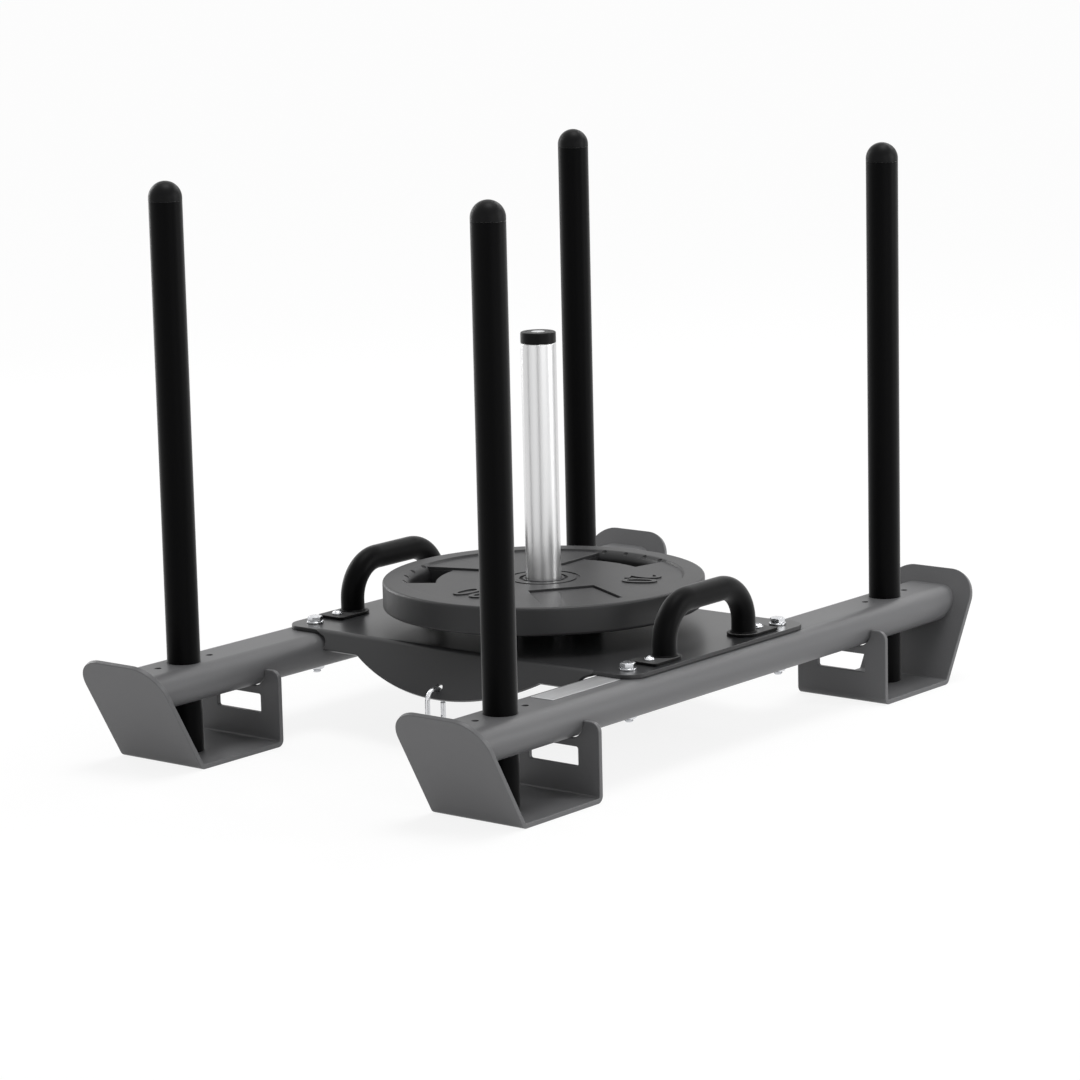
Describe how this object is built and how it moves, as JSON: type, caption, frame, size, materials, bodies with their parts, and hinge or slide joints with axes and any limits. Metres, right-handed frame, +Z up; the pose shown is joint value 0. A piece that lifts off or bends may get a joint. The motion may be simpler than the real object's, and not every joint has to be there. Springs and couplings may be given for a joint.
{
  "type": "push sled",
  "caption": "Push and pull training sled with bent-plate skids, upright push posts, a centre weight peg carrying a disc, side handles and a tow carabiner.",
  "frame": {"origin": "on the floor, under the axis of the weight peg", "axes": "+Z up, Y along the rails with the tow carabiner at the -Y end, +X towards the right rail"},
  "size_m": [0.7148, 1.1608, 0.7938],
  "materials": {
    "grey_coat": "satin powder coat, dark grey",
    "black_coat": "satin powder coat, black",
    "deck_coat": "smooth satin coat, near black",
    "black_plastic": "moulded, fine matt grain",
    "disc_rubber": "moulded rubber, matt",
    "bumper_rubber": "moulded rubber, matt",
    "peg_steel": "satin bright steel",
    "hub_steel": "turned steel, dulled",
    "zinc": "bright zinc plate",
    "chrome": "polished",
    "label_silver": "satin, bare"
  },
  "bodies": {
    "frame": {"rail_left": "grey_coat", "rail_right": "grey_coat", "skid_front_left": "grey_coat", "skid_rear_left": "grey_coat", "skid_front_right": "grey_coat", "skid_rear_right": "grey_coat", "deck_plate": "deck_coat", "handle_left": "black_coat", "handle_right": "black_coat", "handle_foot_front_left": "black_coat", "handle_foot_rear_left": "black_coat", "handle_foot_front_right": "black_coat", "handle_foot_rear_right": "black_coat", "foot_bolt_front_left": "zinc", "foot_bolt_rear_left": "zinc", "foot_bolt_front_right": "zinc", "foot_bolt_rear_right": "zinc", "frame_bolt_front_left": "zinc", "frame_bolt_rear_left": "zinc", "frame_bolt_front_right": "zinc", "frame_bolt_rear_right": "zinc", "frame_washer_front_left": "zinc", "frame_washer_rear_left": "zinc", "frame_washer_front_right": "zinc", "frame_washer_rear_right": "zinc", "frame_nut_front_left": "zinc", "frame_nut_rear_left": "zinc", "frame_nut_front_right": "zinc", "frame_nut_rear_right": "zinc", "crush_tube_front_left": "zinc", "crush_tube_rear_left": "zinc", "crush_tube_front_right": "zinc", "crush_tube_rear_right": "zinc", "peg_tube": "peg_steel", "peg_plug": "zinc", "peg_cap": "black_plastic", "peg_bolt": "zinc", "peg_washer": "zinc", "bumper_1": "bumper_rubber", "bumper_2": "bumper_rubber", "bumper_3": "bumper_rubber", "bumper_4": "bumper_rubber", "label_plate": "label_silver"},
    "post_front_left": {"post_front_left": "black_coat", "post_cap_front_left": "black_plastic"},
    "post_rear_left": {"post_rear_left": "black_coat", "post_cap_rear_left": "black_plastic"},
    "post_front_right": {"post_front_right": "black_coat", "post_cap_front_right": "black_plastic"},
    "post_rear_right": {"post_rear_right": "black_coat", "post_cap_rear_right": "black_plastic"},
    "disc": {"weight_disc": "disc_rubber", "disc_hub": "hub_steel"},
    "carabiner": {"carabiner_body": "chrome", "gate_pin": "chrome"},
    "gate": {"carabiner_gate": "chrome"}
  },
  "joints": [
    {"name": "post_front_left_lift", "type": "slide", "parent": "frame", "child": "post_front_left", "axis": [0, 0, 1], "range_m": [0, 0.12]},
    {"name": "post_rear_left_lift", "type": "slide", "parent": "frame", "child": "post_rear_left", "axis": [0, 0, 1], "range_m": [0, 0.12]},
    {"name": "post_front_right_lift", "type": "slide", "parent": "frame", "child": "post_front_right", "axis": [0, 0, 1], "range_m": [0, 0.12]},
    {"name": "post_rear_right_lift", "type": "slide", "parent": "frame", "child": "post_rear_right", "axis": [0, 0, 1], "range_m": [0, 0.12]},
    {"name": "disc_lift", "type": "slide", "parent": "frame", "child": "disc", "axis": [0, 0, 1], "range_m": [0, 0.39]},
    {"name": "carabiner_swing", "type": "hinge", "parent": "frame", "child": "carabiner", "pos_m": [0, -0.24335, 0.07341], "axis": [-1, 0, 0], "range_deg": [-35, 90]},
    {"name": "gate_open", "type": "hinge", "parent": "carabiner", "child": "gate", "pos_m": [0, -0.22685, 0.04711], "axis": [1, 0, 0], "range_deg": [0, 25], "stiffness_Nm_per_rad": 0.02, "springref_deg": -20.05}
  ]
}
